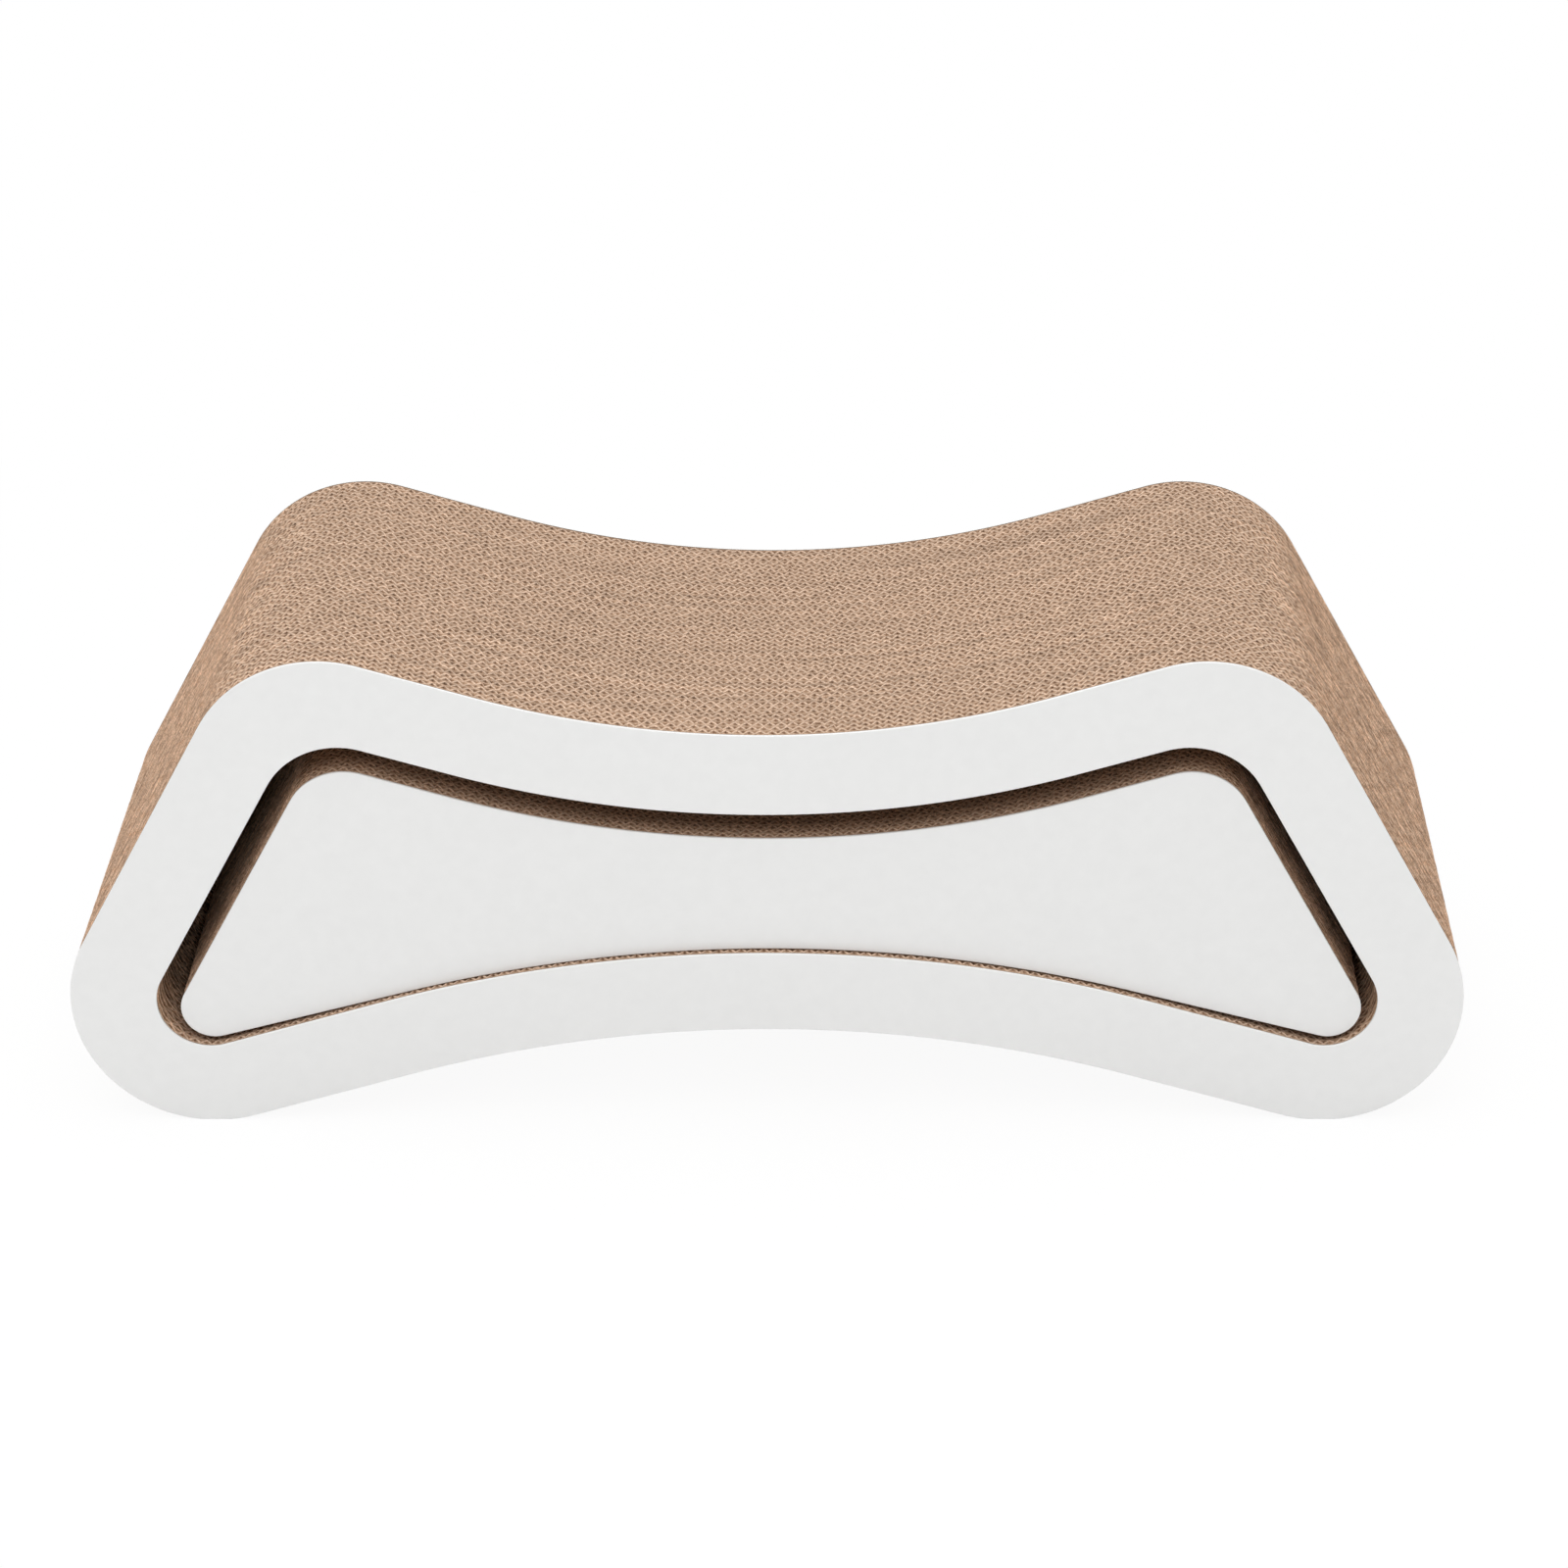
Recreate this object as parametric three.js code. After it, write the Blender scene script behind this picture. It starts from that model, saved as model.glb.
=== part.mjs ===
// A cat lounge in two nesting pieces of laminated corrugated board: a ring with a saddle on top and an arch
// underneath, and a bow-tie insert that stands on the ring's floor and slides out of either end.
// Every board is die-cut to one outline and glued face to face, with a white cover board on each end.
//
// Millimetres, +Z up, +X along the length, the front towards -Y.
// The origin is on the floor, under the middle of the ring.

import * as THREE from "three";

// Driving dimensions: the ring's outline
const LENGTH = 600; // over the toes
const HEIGHT = 220; // from the floor to the top of the shoulders
const TOE_RADIUS = 59;
const TOE_FLAT = 0.4; // how deep the toe's edge is pressed flat where it stands
const SHOULDER_RADIUS = 58.5;
const SHOULDER_SPAN = 370; // between the centres of the two shoulders
const SADDLE_SLOPE = THREE.MathUtils.degToRad(16.6);
const SADDLE_RADIUS = 428;
const ARCH_SLOPE = THREE.MathUtils.degToRad(16.6);
const ARCH_RADIUS = 545;

// Driving dimensions: the opening and the insert
const WALL = 37; // the ring's band, all the way round
const OPENING_SHOULDER_RADIUS = 34.5;
const CLEARANCE = 8; // trimmed off the insert all the way round
const ARCH_EASE = THREE.MathUtils.degToRad(1.5); // the insert's arch is this much flatter than the floor
const INSERT_SHIFT = 1.5; // how far right of the middle the insert was put in
const SEAT_GAP = 0.3; // between the insert's arch and the ring's floor where it stands

// Driving dimensions: the boards
const PLY = 4; // one corrugated board with its glue
const PACK_PLIES = 4; // boards glued up as one pack
const PACKS = 12;
const SETBACK_PLIES = 1; // boards that the insert is short of, at each end
const COVER = 1.6; // white cover board
const GLUE_LINE = 0.1; // film between packs, and under a cover

// How far a flat facet may lie inside the true arc
const FACET = 0.15;

const whiteBoard = new THREE.MeshStandardMaterial({ color: 0xe6e6e6, roughness: 0.55, metalness: 0 });
const kraftBoard = new THREE.MeshStandardMaterial({ color: 0xbb9e86, roughness: 0.9, metalness: 0 });

// Points along an arc, close enough together to keep within FACET.
// It runs clockwise when `to` is below `from`.
function arcPoints(x, z, radius, from, to) {
  const step = 2 * Math.acos(1 - FACET / radius);
  const divisions = Math.max(1, Math.ceil(Math.abs(to - from) / step));
  return new THREE.EllipseCurve(x, z, radius, radius, from, to, to < from).getPoints(divisions);
}

// The direction in which a flank faces: the straight line that touches the shoulder and the toe outside.
function flankAngle({ toe, shoulder }) {
  const run = Math.hypot(toe.x - shoulder.x, toe.z - shoulder.z);
  const along = Math.atan2(toe.z - shoulder.z, toe.x - shoulder.x);
  return along + Math.acos((shoulder.radius - toe.radius) / run);
}

// The saddle's arc rounds the corner where the two slopes down from the shoulders meet on the centre line.
function saddleCentre({ shoulder, saddle }) {
  const lineX = shoulder.x - shoulder.radius * Math.sin(saddle.slope);
  const lineZ = shoulder.z + shoulder.radius * Math.cos(saddle.slope);
  return lineZ - lineX * Math.tan(saddle.slope) + saddle.radius / Math.cos(saddle.slope);
}

// The arch's arc rounds the corner where the two slopes up from the toes meet on the centre line.
function archCentre({ toe, arch }) {
  const lineX = toe.x - toe.radius * Math.sin(arch.slope);
  const lineZ = toe.z - toe.radius * Math.cos(arch.slope);
  return lineZ + lineX * Math.tan(arch.slope) - arch.radius / Math.cos(arch.slope);
}

// A toe's arc, broken by the flat that it stands on, if it has one.
function toePoints(x, toe, from, to, down) {
  if (!toe.flat) {
    return arcPoints(x, toe.z, toe.radius, from, to);
  }
  const halfFlat = Math.acos(1 - toe.flat / toe.radius);
  return [
    ...arcPoints(x, toe.z, toe.radius, from, down - halfFlat),
    ...arcPoints(x, toe.z, toe.radius, down + halfFlat, to),
  ];
}

// The whole outline in X and Z, anticlockwise from the right toe: toe, shoulder, saddle, shoulder, toe, arch.
function outlinePoints(form) {
  const { toe, shoulder, saddle, arch } = form;
  const quarter = Math.PI / 2;
  const flank = flankAngle(form);
  return [
    ...toePoints(toe.x, toe, -quarter - arch.slope, flank, -quarter),
    ...arcPoints(shoulder.x, shoulder.z, shoulder.radius, flank, quarter + saddle.slope),
    ...arcPoints(0, saddleCentre(form), saddle.radius, saddle.slope - quarter, -saddle.slope - quarter),
    ...arcPoints(-shoulder.x, shoulder.z, shoulder.radius, quarter - saddle.slope, Math.PI - flank),
    ...toePoints(-toe.x, toe, Math.PI - flank, 3 * quarter + arch.slope, 3 * quarter),
    ...arcPoints(0, archCentre(form), arch.radius, quarter + arch.slope, quarter - arch.slope),
  ];
}

// The same form drawn in by a distance all the way round: round corners lose it, hollow ones gain it.
function drawnIn({ toe, shoulder, saddle, arch }, distance) {
  return {
    toe: { x: toe.x, z: toe.z, radius: toe.radius - distance },
    shoulder: { x: shoulder.x, z: shoulder.z, radius: shoulder.radius - distance },
    saddle: { slope: saddle.slope, radius: saddle.radius + distance },
    arch: { slope: arch.slope, radius: arch.radius + distance },
  };
}

// The same form with another shoulder radius, between the same flank and saddle slope.
function withShoulderRadius(form, radius) {
  const { shoulder, saddle } = form;
  const flank = flankAngle(form);
  const saddleFacing = Math.PI / 2 + saddle.slope;
  const between = (flank + saddleFacing) / 2;
  const shift = (radius - shoulder.radius) / Math.cos((saddleFacing - flank) / 2);
  const moved = {
    x: shoulder.x - shift * Math.cos(between),
    z: shoulder.z - shift * Math.sin(between),
    radius,
  };
  return { ...form, shoulder: moved };
}

// A board, or a pack of boards, cut to an outline. Its middle lies on the XZ plane.
function boardGeometry(outline, hole, thickness) {
  const shape = new THREE.Shape(outline);
  if (hole) {
    shape.holes.push(new THREE.Path(hole));
  }
  return new THREE.ExtrudeGeometry(shape, { depth: thickness, bevelEnabled: false })
    .translate(0, 0, -thickness / 2)
    .rotateX(Math.PI / 2);
}

function boardMesh(name, material, outline, hole, front, back) {
  const mesh = new THREE.Mesh(boardGeometry(outline, hole, back - front), material);
  mesh.name = name;
  mesh.position.y = (front + back) / 2;
  return mesh;
}

// A laminated block: packs of corrugated board between two cover boards, from -half to +half of its stack.
function laminatedBlock(name, outline, hole, stack) {
  const block = new THREE.Group();
  const pitch = PACK_PLIES * PLY;
  const firstPack = (-PACKS * pitch) / 2;
  for (let i = 0; i < PACKS; i++) {
    const front = Math.max(firstPack + i * pitch, -stack / 2);
    const back = Math.min(firstPack + (i + 1) * pitch, stack / 2);
    const packName = `${name}_ply_pack_${String(i + 1).padStart(2, "0")}`;
    const inset = GLUE_LINE / 2;
    block.add(boardMesh(packName, kraftBoard, outline, hole, front + inset, back - inset));
  }
  const faceIn = stack / 2 + GLUE_LINE / 2;
  const faceOut = stack / 2 + COVER;
  block.add(boardMesh(`${name}_front_cover`, whiteBoard, outline, hole, -faceOut, -faceIn));
  block.add(boardMesh(`${name}_back_cover`, whiteBoard, outline, hole, faceIn, faceOut));
  return block;
}

const ringForm = {
  toe: { x: LENGTH / 2 - TOE_RADIUS, z: TOE_RADIUS - TOE_FLAT, radius: TOE_RADIUS, flat: TOE_FLAT },
  shoulder: { x: SHOULDER_SPAN / 2, z: HEIGHT - SHOULDER_RADIUS, radius: SHOULDER_RADIUS },
  saddle: { slope: SADDLE_SLOPE, radius: SADDLE_RADIUS },
  arch: { slope: ARCH_SLOPE, radius: ARCH_RADIUS },
};
const openingForm = withShoulderRadius(drawnIn(ringForm, WALL), OPENING_SHOULDER_RADIUS);
const trimmedForm = drawnIn(openingForm, CLEARANCE);
const insertForm = { ...trimmedForm, arch: { ...trimmedForm.arch, slope: ARCH_SLOPE - ARCH_EASE } };

const ringStack = PACKS * PACK_PLIES * PLY;
const insertStack = ringStack - 2 * SETBACK_PLIES * PLY;

const ring = laminatedBlock("ring", outlinePoints(ringForm), outlinePoints(openingForm), ringStack);
const insert = laminatedBlock("insert", outlinePoints(insertForm), null, insertStack);

// The insert lies loose, a little to one side, and its arch stands on the arch of the ring's floor: where
// two arcs touch, their centres are as far apart as their radii differ. A facet of the insert may lie FACET
// below its arc.
const radiiDiffer = insertForm.arch.radius - openingForm.arch.radius;
const centresDrop = Math.sqrt(radiiDiffer ** 2 - INSERT_SHIFT ** 2);
insert.position.x = INSERT_SHIFT;
insert.position.z = archCentre(openingForm) - centresDrop + SEAT_GAP + FACET - archCentre(insertForm);

const lounge = new THREE.Group();
lounge.add(ring, insert);

export default lounge;
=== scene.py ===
import bpy
import numpy as np
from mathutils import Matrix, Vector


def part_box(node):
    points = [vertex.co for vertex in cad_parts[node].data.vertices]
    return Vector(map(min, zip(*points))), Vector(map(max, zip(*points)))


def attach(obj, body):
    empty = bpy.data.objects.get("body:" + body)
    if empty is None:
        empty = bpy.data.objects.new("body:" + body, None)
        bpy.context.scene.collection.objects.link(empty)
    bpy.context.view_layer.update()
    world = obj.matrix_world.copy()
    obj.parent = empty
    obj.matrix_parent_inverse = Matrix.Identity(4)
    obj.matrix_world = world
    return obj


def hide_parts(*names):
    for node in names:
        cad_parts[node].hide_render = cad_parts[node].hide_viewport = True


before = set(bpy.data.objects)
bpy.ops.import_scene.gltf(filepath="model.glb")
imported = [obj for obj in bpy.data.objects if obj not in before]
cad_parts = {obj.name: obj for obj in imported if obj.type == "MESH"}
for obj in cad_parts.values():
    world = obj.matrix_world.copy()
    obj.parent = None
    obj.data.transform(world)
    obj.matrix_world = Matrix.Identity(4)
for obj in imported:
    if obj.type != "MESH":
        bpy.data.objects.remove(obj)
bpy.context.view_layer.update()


# Ring core.
# Forty-eight boards of single-wall kraft corrugated, die-cut to a bow-tie with a bow-tie opening and
# glued face to face, flutes upright. Every cut edge shows flat liners and the wavy medium between them.

MM = 0.001
PACKS = 12
BOARDS_A_PACK = 4
ROWS_A_BOARD = 5  # a liner, a flute, the medium's two sides and a flute

LENGTH, HEIGHT = 600.0, 220.0
TOE_RADIUS, TOE_FLAT = 59.0, 0.4  # the flat is how deep the toe is pressed where it stands
SHOULDER_RADIUS, SHOULDER_SPAN = 58.5, 370.0
SLOPE = np.radians(16.6)  # of the saddle's sides, and of the arch's
SADDLE_RADIUS, ARCH_RADIUS = 428.0, 545.0
WALL = 37.0  # the ring's band, between its outline and the opening
OPENING_SHOULDER_RADIUS = 34.5
RING = dict(
    toe=(LENGTH / 2 - TOE_RADIUS, TOE_RADIUS - TOE_FLAT, TOE_RADIUS),
    shoulder=(SHOULDER_SPAN / 2, HEIGHT - SHOULDER_RADIUS, SHOULDER_RADIUS),
    saddle=(SLOPE, SADDLE_RADIUS),
    arch=(SLOPE, ARCH_RADIUS),
)

WAVE = 4.87  # one flute, crest to crest
SWING = 0.42  # how far the medium swings to each side of its board's middle, as a share of the board
MEDIUM = 0.6  # the medium's cut edge, frayed by the blade
MEDIUM_TORN = 0.4  # how far it lies below the liners where the cut is upright and tears flutes open
LINER_SUNK = 0.1  # how far the liners lie below it where the cut is level
FLUTE_DEEP = 0.8  # the widest flute's depth: flutes are drawn only as deep as their mouths show, and their darkness is painted shade
FLUTE_FOOT = 0.12  # how far a flute's bottom is from its far wall, as a share of its width
UNEVEN = (0.7, 1.15)  # the least and most of a flute's depth that the cut leaves open
FRAY = 0.2  # how deep the cut is ragged
SLIPS = 4  # places along a board where its wave slips by a quarter
OPEN_DARK = 1.0  # how much sooner the painted shade darkens a flute where the cut is upright and tears it open
MEDIUM_LIT, LINER_LIT = 0.7, 0.35  # how much paler the papers' edges are painted, partly frayed fibres and partly painted highlight on their lit tops, in millimetres of depth
OUTLINE_STEP = 0.25  # between points of an outline before it is sampled
LONGEST_STEP = 3.5  # between points of a board's edge, where it runs upright


def drawn_in(form, by):
    """The form moved in by one distance all round: round corners lose it, hollow ones gain it, and the
    toe's and shoulder's centres stay."""
    x, z, radius = form["toe"]
    u, w, bend = form["shoulder"]
    return dict(
        toe=(x, z, radius - by),
        shoulder=(u, w, bend - by),
        saddle=(form["saddle"][0], form["saddle"][1] + by),
        arch=(form["arch"][0], form["arch"][1] + by),
    )


def flank_angle(form):
    """Where the flank faces: the bearing from shoulder to toe, plus the arc cosine of the radii's
    difference over their distance, which is the straight line that touches both circles outside."""
    x, z, radius = form["toe"]
    u, w, bend = form["shoulder"]
    return np.arctan2(z - w, x - u) + np.arccos((bend - radius) / np.hypot(x - u, z - w))


def with_shoulder(form, radius):
    """The form with another shoulder radius: its centre moves along the line halfway between the flank's
    facing and the saddle slope's, by the change of radius over the cosine of half the angle between."""
    u, w, bend = form["shoulder"]
    flank, slope = flank_angle(form), np.pi / 2 + form["saddle"][0]
    between, shift = (flank + slope) / 2, (radius - bend) / np.cos((slope - flank) / 2)
    return dict(form, shoulder=(u - shift * np.cos(between), w - shift * np.sin(between), radius))


def way_along(line):
    """How far along a line each of its points is: the running sum of the steps between them."""
    return np.append(0, np.cumsum(np.hypot(*np.diff(line, axis=0).T)))


def arc(x, z, radius, start, end):
    """Points on a circle from one angle to another, an outline's step apart."""
    turn = np.linspace(start, end, int(abs(end - start) * radius / OUTLINE_STEP) + 2)
    return np.stack([x + radius * np.cos(turn), z + radius * np.sin(turn)], 1)


def half_outline(form, lift=0.0, floor=-np.inf):
    """The right half, from the crown of the arch round the toe and shoulder to the bottom of the saddle,
    in even steps: arch, toe, shoulder and saddle are arcs, with straights that touch them between."""
    (x, z, r), (u, w, b) = form["toe"], form["shoulder"]
    (slope, saddle), (rise, arch) = form["saddle"], form["arch"]
    right = np.pi / 2
    arch_z = z - r * np.cos(rise) + (x - r * np.sin(rise)) * np.tan(rise) - arch / np.cos(rise)
    saddle_z = w + b * np.cos(slope) - (u - b * np.sin(slope)) * np.tan(slope) + saddle / np.cos(slope)
    flank = flank_angle(form)
    corners = np.concatenate([
        arc(0, arch_z, arch, right, right - rise),
        arc(x, z, r, -right - rise, flank),
        arc(u, w, b, flank, right + slope),
        arc(0, saddle_z, saddle, slope - right, -right),
    ])
    way = way_along(corners)
    even = np.linspace(0, way[-1], int(way[-1] / OUTLINE_STEP))
    points = np.stack([np.interp(even, way, c) for c in corners.T], 1)
    points[:, 1] = np.maximum(points[:, 1] + lift, floor)
    return points


def subdivided(at, longest):
    """Rising numbers with each gap split evenly until no step is longer than longest."""
    gap = np.diff(at)
    parts = np.maximum(np.ceil(gap / longest - 1e-9), 1).astype(int)
    which = np.repeat(np.arange(len(gap)), parts)
    inside = np.arange(len(which)) - np.repeat(np.cumsum(parts) - parts, parts)
    return np.append(at[which] + gap[which] * inside / parts[which], at[-1])


def filled_up(at, count):
    """Rising numbers with the widest gaps halved until there are count of them."""
    widest = np.argsort(np.diff(at), kind="stable")[len(at) - 1 - (count - len(at)):]
    return np.sort(np.append(at, (at[widest] + at[widest + 1]) / 2))


def stations(half, wave):
    """Distances along a half outline at which it is sampled, in two lists: from the arch to the toe's
    tip, and from there to the saddle. They fall on every quarter wave of X, so that a zigzag keeps its
    points."""
    way = way_along(half)
    tip = half[:, 0].argmax()
    quarters = np.arange(0, half[tip, 0], wave / 4)
    under = np.interp(quarters, half[: tip + 1, 0], way[: tip + 1])
    over = np.interp(quarters[::-1], half[tip:, 0][::-1], way[tip:][::-1])
    return (
        subdivided(np.append(under, way[tip]), LONGEST_STEP),
        subdivided(np.append(way[tip], over), LONGEST_STEP),
    )


def loop(half, under, over):
    """The closed outline, anticlockwise from the crown of the arch, and its outward normals: the right
    half sampled at the stations, then its mirror image, run backwards."""
    way = way_along(half)
    at = np.append(under, over[1:])
    right = np.stack([np.interp(at, way, c) for c in half.T], 1)
    slope = np.gradient(half, way, axis=0)
    facing = np.stack([np.interp(at, way, slope[:, 1]), -np.interp(at, way, slope[:, 0])], 1)
    facing /= np.linalg.norm(facing, axis=1, keepdims=True)
    mirror = np.array([-1.0, 1.0])
    points = np.concatenate([right, right[-2:0:-1] * mirror])
    normals = np.concatenate([facing, facing[-2:0:-1] * mirror])
    normals[[0, len(at) - 1], 0] = 0
    return points, normals


def cut_edge(points, normals, front, back, boards, seed):
    """The cut edge of a pack of boards as a grid. Across it each board has a liner, the bottom of a
    flute, the medium's two sides and the bottom of another flute, and one more liner ends the pack; along
    it run the outline's points. The medium's place in its board is a zigzag of X, one wave long, started
    at a random quarter for each board, which slips by a quarter here and there. A flute's bottom is close
    to its far wall: the medium for the near flute, the next liner for the other. Its depth goes with the
    cube of its width where the edge is level and with the width where it is upright, times a random
    unevenness. Gives places, how much painted shade each gets from its depth (the liners' and medium's
    edges painted paler, partly as painted highlight on lit tops), how upright its edge is (the normal's
    X, squared), and how far along the outline it is; lengths in millimetres."""
    dice = np.random.default_rng(seed)
    thick = (back - front) / boards
    start = np.cumsum(dice.integers(1, 4, boards))
    slip_at = dice.uniform(points[:, 0].min(), points[:, 0].max(), (boards, 1, SLIPS))
    slips = (points[None, :, None, 0] > slip_at) @ dice.choice([-1, 1], SLIPS)
    turn = points[None, :, 0] / WAVE + (start[:, None] + slips) / 4
    medium = thick * (0.5 + SWING * (4 * np.abs(turn - np.floor(turn + 0.5)) - 1))
    near, far = medium - MEDIUM / 2, medium + MEDIUM / 2
    flush, rest = np.zeros_like(medium), thick - far
    bottoms = near * (1 - FLUTE_FOOT), far + rest * (1 - FLUTE_FOOT)
    y = np.stack([flush, bottoms[0], near, far, bottoms[1]], 1)
    y += thick * np.arange(boards)[:, None, None]
    upright, widest = normals[:, 0] ** 2, near.max()
    dug = [
        FLUTE_DEEP * (width / widest) ** (3 - 2 * upright) * dice.uniform(*UNEVEN, width.shape)
        for width in (near, rest)
    ]
    liner, torn = LINER_SUNK * (1 - upright), MEDIUM_TORN * upright**2
    depth = np.stack([flush + liner, dug[0], flush + torn, flush + torn, dug[1]], 1)
    depth += dice.uniform(0, FRAY, depth.shape)
    y = np.append(y.reshape(-1, len(points)), np.full((1, len(points)), thick * boards), 0)
    depth = np.append(depth.reshape(-1, len(points)), liner[None], 0)
    depth[0] = liner
    x = points[:, 0] - depth * normals[:, 0]
    z = points[:, 1] - depth * normals[:, 1]
    # Painted shade: the deeper a point, the darker it is painted, sooner where the edge is upright; the
    # liners' and medium's edges are painted paler, partly as frayed fibres and partly as painted
    # highlight on their lit tops.
    shade = depth * (1 + OPEN_DARK * upright)
    shade[::ROWS_A_BOARD] -= LINER_LIT * (1 + upright)
    shade[2::ROWS_A_BOARD] -= MEDIUM_LIT
    shade[3::ROWS_A_BOARD] -= MEDIUM_LIT
    upright, along = [np.broadcast_to(value, shade.shape) for value in (upright, way_along(points))]
    return np.stack([x, front + y, z], 2), shade, upright, along


def grid_faces(rows, columns, closed):
    """Four-cornered faces of a grid whose columns run round and join up, as do its rows if closed."""
    row = np.arange(rows if closed else rows - 1)[:, None]
    column = np.arange(columns)[None, :]
    above, beside = (row + 1) % rows, (column + 1) % columns
    corners = [(row, column), (above, column), (above, beside), (row, beside)]
    corners = [line * columns + place for line, place in corners]
    return np.stack(np.broadcast_arrays(*corners), 2).reshape(-1, 4)


def board_piece(name, places, faces, material, **attributes):
    """An object at the origin from places in millimetres, lists of faces, and a number a point for each
    attribute."""
    mesh = bpy.data.meshes.new(name)
    mesh.vertices.add(len(places))
    mesh.vertices.foreach_set("co", (places * MM).astype(np.float32).ravel())
    corners = np.concatenate([f.ravel() for f in faces]).astype(np.int32)
    sides = np.concatenate([np.full(len(f), f.shape[1]) for f in faces])
    mesh.loops.add(len(corners))
    mesh.loops.foreach_set("vertex_index", corners)
    mesh.polygons.add(len(sides))
    mesh.polygons.foreach_set("loop_start", (np.cumsum(sides) - sides).astype(np.int32))
    mesh.update(calc_edges=True)
    mesh.shade_flat()
    for key, values in attributes.items():
        layer = mesh.attributes.new(key, "FLOAT", "POINT")
        layer.data.foreach_set("value", values.astype(np.float32).ravel())
    mesh.materials.append(material)
    piece = bpy.data.objects.new(name, mesh)
    bpy.context.scene.collection.objects.link(piece)
    return piece


def linear(colour):
    """An sRGB hex colour as linear red, green, blue and alpha: below 0.04045 a share of 12.92, above it a
    power of 2.4."""
    value = np.array([int(colour[i:i + 2], 16) / 255 for i in (1, 3, 5)])
    value = np.where(value <= 0.04045, value / 12.92, ((value + 0.055) / 1.055) ** 2.4)
    return (*value, 1.0)


def add_node(tree, kind, inputs, **settings):
    """A node of that kind with its settings, and its inputs set to a value or linked to a socket."""
    node = tree.nodes.new(kind)
    for key, value in settings.items():
        setattr(node, key, value)
    for key, value in inputs.items():
        if isinstance(value, bpy.types.NodeSocket):
            tree.links.new(value, node.inputs[key])
        else:
            node.inputs[key].default_value = value
    return node


# Kraft corrugated board, cut across by a steel rule: unbleached fibres, quite matt. The papers' edges are
# painted pale, partly as frayed fibres and partly as painted highlight on their lit tops, and the flutes
# are painted dark with painted shade. The tone drifts a little from board to board.
# The edge colour is partly painted highlight; the flute colour is painted shade down in the flutes.
KRAFT_EDGE = "#d3b8a2"
KRAFT_PAPER = "#a58870"
KRAFT_FLUTE_SHADE = "#7d6049"
KRAFT_ROUGHNESS = 0.92
KRAFT_GLOSS = 0.25
FLUTE_LIP = 0.2  # how far down a flute's wall the painted shade begins, in millimetres
FLUTE_DARK = 0.8  # how far down the painted shade is as dark as it gets
STREAK = (180.0, 5.0)  # how long a drift of tone is, and how many millimetres of boards it takes in
STREAK_TONE = (0.87, 1.11)
DASH = (16.0, 5.0)  # the same for the dashes of torn flutes, a random painted shade of the open flutes
DASH_LEVEL, DASH_UPRIGHT = 0.03, 0.5  # how far this random painted shade changes the tone, where level and where upright
UPRIGHT_PALE_AND_LIT = 1.41  # how much paler the edge is painted where it is upright: partly paler torn fibres, partly painted light for the flanks
FIBRE = 1.0  # tufts of fibre; drawn larger than they are so that they show
FIBRE_TONE = (0.72, 1.28)
NOISE = {"From Min": 0.3, "From Max": 0.7}  # most of a noise texture's values lie between these
kraft = bpy.data.materials.new("die_cut_kraft_corrugated")
kraft.use_nodes = True
tree = kraft.node_tree
shader = tree.nodes["Principled BSDF"]
shader.inputs["Roughness"].default_value = KRAFT_ROUGHNESS
shader.inputs["Specular IOR Level"].default_value = KRAFT_GLOSS
place = add_node(tree, "ShaderNodeTexCoord", {})
depth = add_node(tree, "ShaderNodeAttribute", {}, attribute_name="flute_depth")
# Painted highlight and shade: from the painted-pale edges to the paper, then from the paper to the
# painted flute shade.
below = add_node(tree, "ShaderNodeMapRange", {
    "Value": depth.outputs["Fac"], "From Min": -MEDIUM_LIT, "From Max": FLUTE_LIP,
})
dark = add_node(tree, "ShaderNodeMapRange", {
    "Value": depth.outputs["Fac"], "From Min": FLUTE_LIP, "From Max": FLUTE_DARK,
})
edge = add_node(tree, "ShaderNodeMix", {
    "Factor": below.outputs["Result"], 6: linear(KRAFT_EDGE), 7: linear(KRAFT_PAPER),
}, data_type="RGBA")
paper = add_node(tree, "ShaderNodeMix", {
    "Factor": dark.outputs["Result"], 6: edge.outputs[2], 7: linear(KRAFT_FLUTE_SHADE),
}, data_type="RGBA")
distance = add_node(tree, "ShaderNodeAttribute", {}, attribute_name="along")
steep = add_node(tree, "ShaderNodeAttribute", {}, attribute_name="upright")
across = add_node(tree, "ShaderNodeSeparateXYZ", {"Vector": place.outputs["Object"]})
spot = add_node(tree, "ShaderNodeCombineXYZ", {
    "X": distance.outputs["Fac"], "Y": across.outputs["Y"],
})
long, short = [
    add_node(tree, "ShaderNodeMapping", {
        "Vector": spot.outputs["Vector"], "Scale": (1 / size[0], 1 / (size[1] * MM), 1),
    })
    for size in (STREAK, DASH)
]
drift, dash = [
    add_node(tree, "ShaderNodeTexNoise", {
        "Vector": size.outputs["Vector"], "Scale": 1.0, "Detail": 2.0,
    })
    for size in (long, short)
]
fibre = add_node(tree, "ShaderNodeTexNoise", {
    "Vector": place.outputs["Object"], "Scale": 1 / (FIBRE * MM), "Detail": 1.0,
})
tone = add_node(tree, "ShaderNodeMapRange", {
    "Value": drift.outputs["Fac"], **NOISE, "To Min": STREAK_TONE[0], "To Max": STREAK_TONE[1],
})
tuft = add_node(tree, "ShaderNodeMapRange", {
    "Value": fibre.outputs["Fac"], **NOISE, "To Min": FIBRE_TONE[0], "To Max": FIBRE_TONE[1],
})
swing = add_node(tree, "ShaderNodeMapRange", {
    "Value": dash.outputs["Fac"], **NOISE, "To Min": -1.0, "To Max": 1.0,
})
most = add_node(tree, "ShaderNodeMapRange", {
    "Value": steep.outputs["Fac"], "To Min": DASH_LEVEL, "To Max": DASH_UPRIGHT,
})
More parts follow.
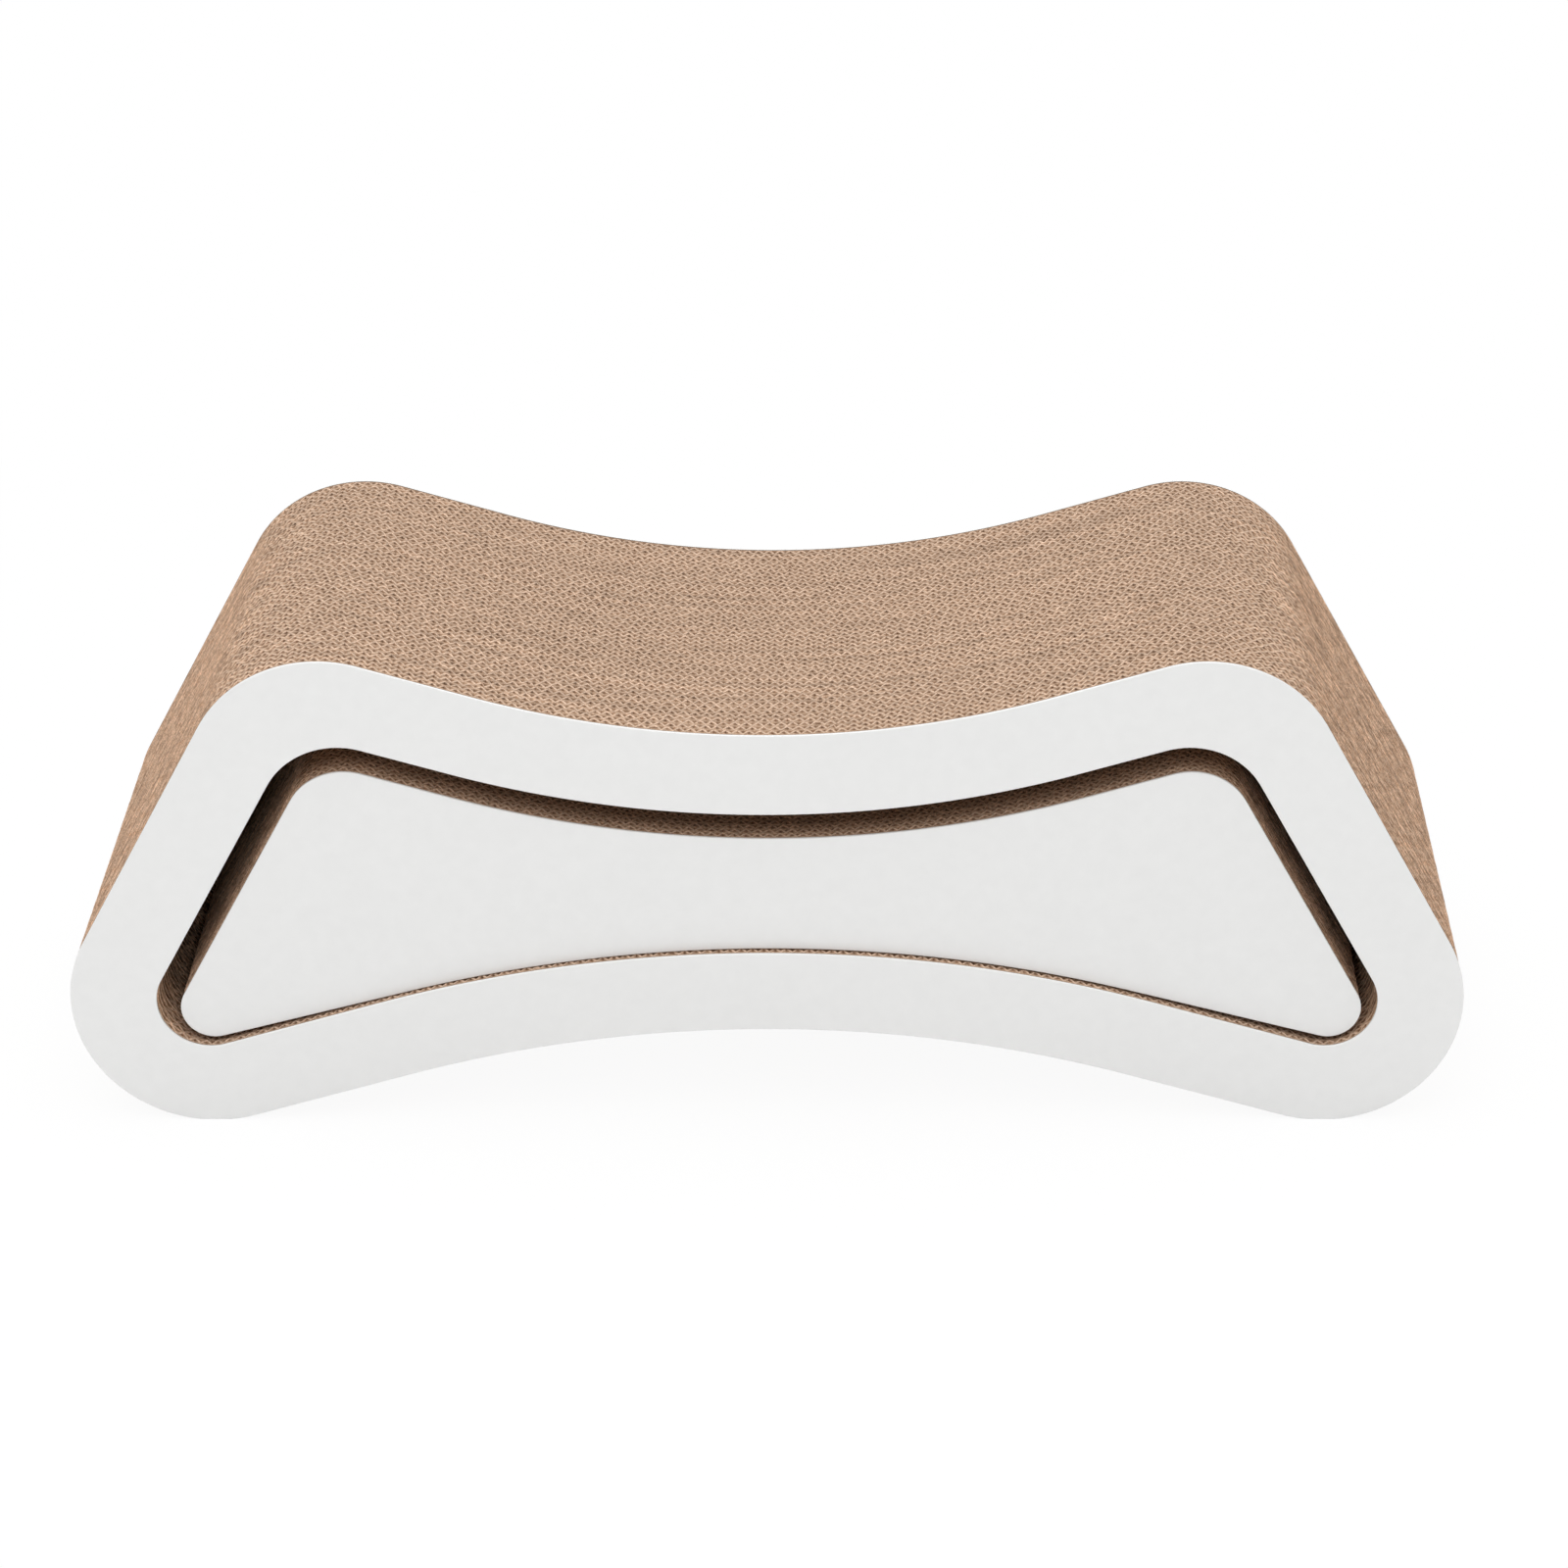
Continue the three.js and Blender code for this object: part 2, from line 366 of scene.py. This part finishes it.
# Upright flanks painted paler: partly torn fibres, partly painted light.
pale = add_node(tree, "ShaderNodeMapRange", {
    "Value": steep.outputs["Fac"], "To Min": 1.0, "To Max": UPRIGHT_PALE_AND_LIT,
})
# The random painted shade of torn flutes, times the upright parts' painted-paler tone.
torn = add_node(tree, "ShaderNodeMath", {
    0: swing.outputs["Result"], 1: most.outputs["Result"], 2: pale.outputs["Result"],
}, operation="MULTIPLY_ADD")
both = add_node(tree, "ShaderNodeMath", {
    0: tone.outputs["Result"], 1: tuft.outputs["Result"],
}, operation="MULTIPLY")
every = add_node(tree, "ShaderNodeMath", {
    0: both.outputs["Value"], 1: torn.outputs["Value"],
}, operation="MULTIPLY")
toned = add_node(tree, "ShaderNodeVectorMath", {
    0: paper.outputs[2], "Scale": every.outputs["Value"],
}, operation="SCALE")
tree.links.new(toned.outputs["Vector"], shader.inputs["Base Color"])

opening = with_shoulder(drawn_in(RING, WALL), OPENING_SHOULDER_RADIUS)
ring_half, opening_half = half_outline(RING, floor=0.0), half_outline(opening)
ring_way, opening_way = stations(ring_half, WAVE), stations(opening_half, WAVE)
opening_way = [filled_up(inner, len(outer)) for inner, outer in zip(opening_way, ring_way)]
ring_loop, opening_loop = loop(ring_half, *ring_way), loop(opening_half, *opening_way)

for number in range(1, PACKS + 1):
    node = f"ring_ply_pack_{number:02d}"
    low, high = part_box(node)
    front, back = low[1] / MM, high[1] / MM
    outer = cut_edge(*ring_loop, front, back, BOARDS_A_PACK, seed=number)
    inner = cut_edge(opening_loop[0], -opening_loop[1], front, back, BOARDS_A_PACK, seed=number)
    grid, depth, upright, along = [
        np.concatenate([out, into[::-1]]) for out, into in zip(outer, inner)
    ]
    piece = board_piece(
        f"ring_boards_{number:02d}",
        grid.reshape(-1, 3),
        [grid_faces(grid.shape[0], grid.shape[1], closed=True)],
        kraft,
        flute_depth=depth,
        upright=upright,
        along=along,
    )
    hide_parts(node)
    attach(piece, "ring")


# Ring covers.
# A white-faced board glued over each end of the core, die-cut with it, so that its edges are flush.
# Coated paper on a brown backing, whose dark brown also stands in as painted shade along the joint behind
# the white rim, with a soft round to the edge where the rule pressed it.

EDGE_ROUND = 0.3
ROUND_ROWS = 4  # rows of points over each quarter round
SHEET = 1.05  # the white layer's thickness, in front of the brown backing
SEAM = 0.02  # over which one turns into the other
COVER_STEP = 2.0  # between points of the outline

# White-coated paperboard, calendered: a nearly neutral white, with a silky gloss and a faint cloudiness.
COVER_WHITE = "#ebebea"
# The backing's dark brown is partly the layer's own colour and partly painted shade along the joint.
BACKING_SHADED_BROWN = "#6f5a49"
COVER_GLOSS = 0.4
COVER_ROUGHNESS = (0.42, 0.55)
CLOUD = 6.0  # the clouds in the sheet
CLOUD_TONE = (0.99, 1.01)
GRAIN = 0.8  # the coating's fine unevenness
GRAIN_HEIGHT = 0.02
cover_white = bpy.data.materials.new("white_coated_paperboard")
cover_white.use_nodes = True
tree = cover_white.node_tree
shader = tree.nodes["Principled BSDF"]
shader.inputs["Specular IOR Level"].default_value = COVER_GLOSS
place = add_node(tree, "ShaderNodeTexCoord", {})
cloud = add_node(tree, "ShaderNodeTexNoise", {
    "Vector": place.outputs["Object"], "Scale": 1 / (CLOUD * MM), "Detail": 3.0,
})
grain = add_node(tree, "ShaderNodeTexNoise", {
    "Vector": place.outputs["Object"], "Scale": 1 / (GRAIN * MM), "Detail": 2.0,
})
white = add_node(tree, "ShaderNodeMapRange", {
    "Value": cloud.outputs["Fac"], **NOISE, "To Min": CLOUD_TONE[0], "To Max": CLOUD_TONE[1],
})
layer = add_node(tree, "ShaderNodeAttribute", {}, attribute_name="backing")
board = add_node(tree, "ShaderNodeMix", {
    "Factor": layer.outputs["Fac"], 6: linear(COVER_WHITE), 7: linear(BACKING_SHADED_BROWN),
}, data_type="RGBA")
sheet = add_node(tree, "ShaderNodeVectorMath", {
    0: board.outputs[2], "Scale": white.outputs["Result"],
}, operation="SCALE")
silk = add_node(tree, "ShaderNodeMapRange", {
    "Value": grain.outputs["Fac"], **NOISE, "To Min": COVER_ROUGHNESS[0], "To Max": COVER_ROUGHNESS[1],
})
bump = add_node(tree, "ShaderNodeBump", {
    "Height": grain.outputs["Fac"], "Strength": 0.15, "Distance": GRAIN_HEIGHT * MM,
})
tree.links.new(sheet.outputs["Vector"], shader.inputs["Base Color"])
tree.links.new(silk.outputs["Result"], shader.inputs["Roughness"])
tree.links.new(bump.outputs["Normal"], shader.inputs["Normal"])


def rounded_edge(points, normals, front, back, side):
    """A cover's edge as a grid from front to back: from the white face over a quarter round, straight
    past the seam with the backing, and over another quarter round to the glued face. A row's distance in
    from the edge and from its face follow the sine and cosine. Gives places, and 1 for each that is on
    the backing."""
    turn = np.linspace(0, np.pi / 2, ROUND_ROWS)
    inward = EDGE_ROUND * (1 - np.sin(turn))
    behind = EDGE_ROUND * (1 - np.cos(turn))
    inward = np.concatenate([inward, [0, 0], inward[::-1]])
    behind = np.concatenate([behind, [SHEET, SHEET + SEAM], back - front - behind[::-1]])
    y = front + behind if side == "front" else back - behind
    flat = points[None] - inward[:, None, None] * normals[None]
    y, backing = np.broadcast_arrays(y[:, None], behind[:, None] > SHEET, flat[..., 0])[:2]
    rows = slice(None) if side == "front" else slice(None, None, -1)
    return np.stack([flat[..., 0], y, flat[..., 1]], 2)[rows], backing[rows]


def even_stations(half, step):
    """Distances along a half outline, about one step apart, split at the toe's tip."""
    way = way_along(half)
    tip, end = way[half[:, 0].argmax()], way[-1]
    return np.linspace(0, tip, int(tip / step)), np.linspace(tip, end, int((end - tip) / step))


ring_way = even_stations(ring_half, COVER_STEP)
opening_way = even_stations(opening_half, COVER_STEP)
opening_way = [filled_up(inner, len(outer)) for inner, outer in zip(opening_way, ring_way)]
ring_loop, opening_loop = loop(ring_half, *ring_way), loop(opening_half, *opening_way)

for side in ("front", "back"):
    node = f"ring_{side}_cover"
    low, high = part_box(node)
    front, back = low[1] / MM, high[1] / MM
    outer, outer_backing = rounded_edge(*ring_loop, front, back, side)
    inner, inner_backing = rounded_edge(opening_loop[0], -opening_loop[1], front, back, side)
    grid = np.concatenate([outer, inner[::-1]])
    piece = board_piece(
        f"ring_{side}_face",
        grid.reshape(-1, 3),
        [grid_faces(grid.shape[0], grid.shape[1], closed=True)],
        cover_white,
        backing=np.concatenate([outer_backing, inner_backing[::-1]]),
    )
    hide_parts(node)
    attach(piece, "ring")


# Insert core.
# Forty-six boards of the same kraft board, cut to the opening less a finger's clearance and glued up like
# the ring's. It stands loose on the crown of the ring's floor and slides out of either end.

CLEARANCE = 8.0
ARCH_EASE = np.radians(1.5)  # how much flatter its arch is than the ring's floor
INSERT_SEEDS = 100  # its packs draw other random numbers than the ring's
trimmed = drawn_in(opening, CLEARANCE)
insert = dict(trimmed, arch=(trimmed["arch"][0] - ARCH_EASE, trimmed["arch"][1]))
low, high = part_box("insert_front_cover")
insert_middle = (low[0] + high[0]) / 2 / MM
insert_lift = high[2] / MM - half_outline(insert)[:, 1].max()
insert_half = half_outline(insert, lift=insert_lift)
insert_loop = loop(insert_half, *stations(insert_half, WAVE))


def closed_block(edge, front, back):
    """Places and faces of a solid block from the grid of its edge: a hub is put in the middle of each
    end, halfway between the arch and the saddle, and triangles fan out from it to the edge's end row."""
    rows, columns = edge.shape[:2]
    middle = insert_half[[0, -1], 1].mean()
    hubs = np.array([[insert_middle, front, middle], [insert_middle, back, middle]])
    rim = np.arange(columns)
    beside = np.roll(rim, -1)
    last, hub = (rows - 1) * columns, np.full(columns, rows * columns)
    faces = [
        grid_faces(rows, columns, closed=False),
        np.stack([hub, rim, beside], 1),
        np.stack([last + beside, last + rim, hub + 1], 1),
    ]
    return np.append(edge.reshape(-1, 3), hubs, 0), faces


for number in range(1, PACKS + 1):
    node = f"insert_ply_pack_{number:02d}"
    low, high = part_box(node)
    front, back = low[1] / MM, high[1] / MM
    boards = BOARDS_A_PACK - (number in (1, PACKS))
    edge, depth, upright, along = cut_edge(*insert_loop, front, back, boards, INSERT_SEEDS + number)
    edge[..., 0] += insert_middle
    piece = board_piece(
        f"insert_boards_{number:02d}",
        *closed_block(edge, front, back),
        kraft,
        flute_depth=np.append(depth.ravel(), [0, 0]),
        upright=np.append(upright.ravel(), [0, 0]),
        along=np.append(along.ravel(), [0, 0]),
    )
    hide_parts(node)
    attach(piece, "insert")


# Insert covers.
# The same white-faced board over each end of the insert, cut to its own bow-tie and glued on. It is set
# back behind the ring's face by one board.

insert_loop = loop(insert_half, *even_stations(insert_half, COVER_STEP))

for side in ("front", "back"):
    node = f"insert_{side}_cover"
    low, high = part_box(node)
    front, back = low[1] / MM, high[1] / MM
    edge, backing = rounded_edge(*insert_loop, front, back, side)
    edge[..., 0] += insert_middle
    piece = board_piece(
        f"insert_{side}_face",
        *closed_block(edge, front, back),
        cover_white,
        backing=np.append(backing.ravel(), [side == "back", side == "front"]),
    )
    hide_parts(node)
    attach(piece, "insert")


# Studio.
# A white paper floor that runs out of sight, a white surround that is brightest overhead, and a softbox.
# Floor and surround show white to the camera, and the floor keeps a trace of the shadow.

FLOOR_HALF = 20.0  # metres
SHADOW_SHARE = 0.06  # how much of the floor's own light and shadow the camera sees
SHADOW_REACH = (0.3, 0.8)  # metres from the middle, over which that fades to white
HORIZON, ZENITH = 0.1, 1.85  # how bright the surround is low down and overhead
LOW = 0.3  # the height, as a share of straight up, at which it begins to brighten
floor_mesh = bpy.data.meshes.new("floor")
floor_corners = [(x * FLOOR_HALF, y * FLOOR_HALF, 0) for x, y in ((-1, -1), (1, -1), (1, 1), (-1, 1))]
floor_mesh.from_pydata(floor_corners, [], [(0, 1, 2, 3)])
floor = bpy.data.objects.new("floor", floor_mesh)
bpy.context.scene.collection.objects.link(floor)


def seen_directly(tree):
    """A socket that is 1 for what the camera sees, straight, mirrored or through glass, and 0 for light
    that falls on the object: the greatest of the three kinds of ray."""
    ray = add_node(tree, "ShaderNodeLightPath", {})
    mirrored = add_node(tree, "ShaderNodeMath", {
        0: ray.outputs["Is Glossy Ray"], 1: ray.outputs["Is Transmission Ray"],
    }, operation="MAXIMUM")
    seen = add_node(tree, "ShaderNodeMath", {
        0: ray.outputs["Is Camera Ray"], 1: mirrored.outputs["Value"],
    }, operation="MAXIMUM")
    return seen.outputs["Value"]


# Studio paper: matt white.
PAPER_WHITE = "#f1f1f1"
PAPER_ROUGHNESS = 0.9
floor_white = bpy.data.materials.new("studio_paper")
floor_white.use_nodes = True
tree = floor_white.node_tree
shader = tree.nodes["Principled BSDF"]
shader.inputs["Base Color"].default_value = linear(PAPER_WHITE)
shader.inputs["Roughness"].default_value = PAPER_ROUGHNESS
place = add_node(tree, "ShaderNodeTexCoord", {})
away = add_node(tree, "ShaderNodeVectorMath", {0: place.outputs["Object"]}, operation="LENGTH")
white = add_node(tree, "ShaderNodeMapRange", {
    "Value": away.outputs["Value"], "From Min": SHADOW_REACH[0], "From Max": SHADOW_REACH[1],
    "To Min": 1 - SHADOW_SHARE, "To Max": 1.0,
})
share = add_node(tree, "ShaderNodeMath", {
    0: seen_directly(tree), 1: white.outputs["Result"],
}, operation="MULTIPLY")
glow = add_node(tree, "ShaderNodeEmission", {"Color": linear("#ffffff"), "Strength": 1.0})
mixed = add_node(tree, "ShaderNodeMixShader", {
    0: share.outputs["Value"], 1: shader.outputs["BSDF"], 2: glow.outputs["Emission"],
})
tree.links.new(mixed.outputs["Shader"], tree.nodes["Material Output"].inputs["Surface"])
floor_mesh.materials.append(floor_white)

world = bpy.data.worlds.new("surround")
bpy.context.scene.world = world
world.use_nodes = True
tree = world.node_tree
surround = tree.nodes["Background"]
surround.inputs["Color"].default_value = linear("#ffffff")
place = add_node(tree, "ShaderNodeTexCoord", {})
height = add_node(tree, "ShaderNodeSeparateXYZ", {"Vector": place.outputs["Generated"]})
glow = add_node(tree, "ShaderNodeMapRange", {
    "Value": height.outputs["Z"], "From Min": LOW, "To Min": HORIZON, "To Max": ZENITH,
})
strength = add_node(tree, "ShaderNodeMix", {
    "Factor": seen_directly(tree), 2: glow.outputs["Result"], 3: 1.0,
})
tree.links.new(strength.outputs[0], surround.inputs["Strength"])

# The softbox hangs in front, above and a little to the left, and faces the object.
lamp = bpy.data.lights.new("overhead_softbox", "AREA")
lamp.shape = "RECTANGLE"
lamp.size = 1.8
lamp.size_y = 1.4
lamp.energy = 13.5
softbox = bpy.data.objects.new("overhead_softbox", lamp)
softbox.location = (-0.18, -1.25, 1.85)
softbox.rotation_euler = (np.radians(36), 0, np.radians(-8))
bpy.context.scene.collection.objects.link(softbox)

# The camera stands in front and above, with a long lens, and looks down by about 27 degrees.
LOOKS_DOWN = 26.61
view = bpy.data.cameras.new("camera")
view.sensor_width = 36
view.lens = 102.07
view.shift_x = -0.0723
view.clip_end = 100
camera = bpy.data.objects.new("camera", view)
camera.location = (0.0561, -1.7677, 1.0004)
camera.rotation_euler = (np.radians(90 - LOOKS_DOWN), 0, 0)
bpy.context.scene.collection.objects.link(camera)
bpy.context.scene.camera = camera
bpy.context.scene.view_settings.view_transform = "Standard"
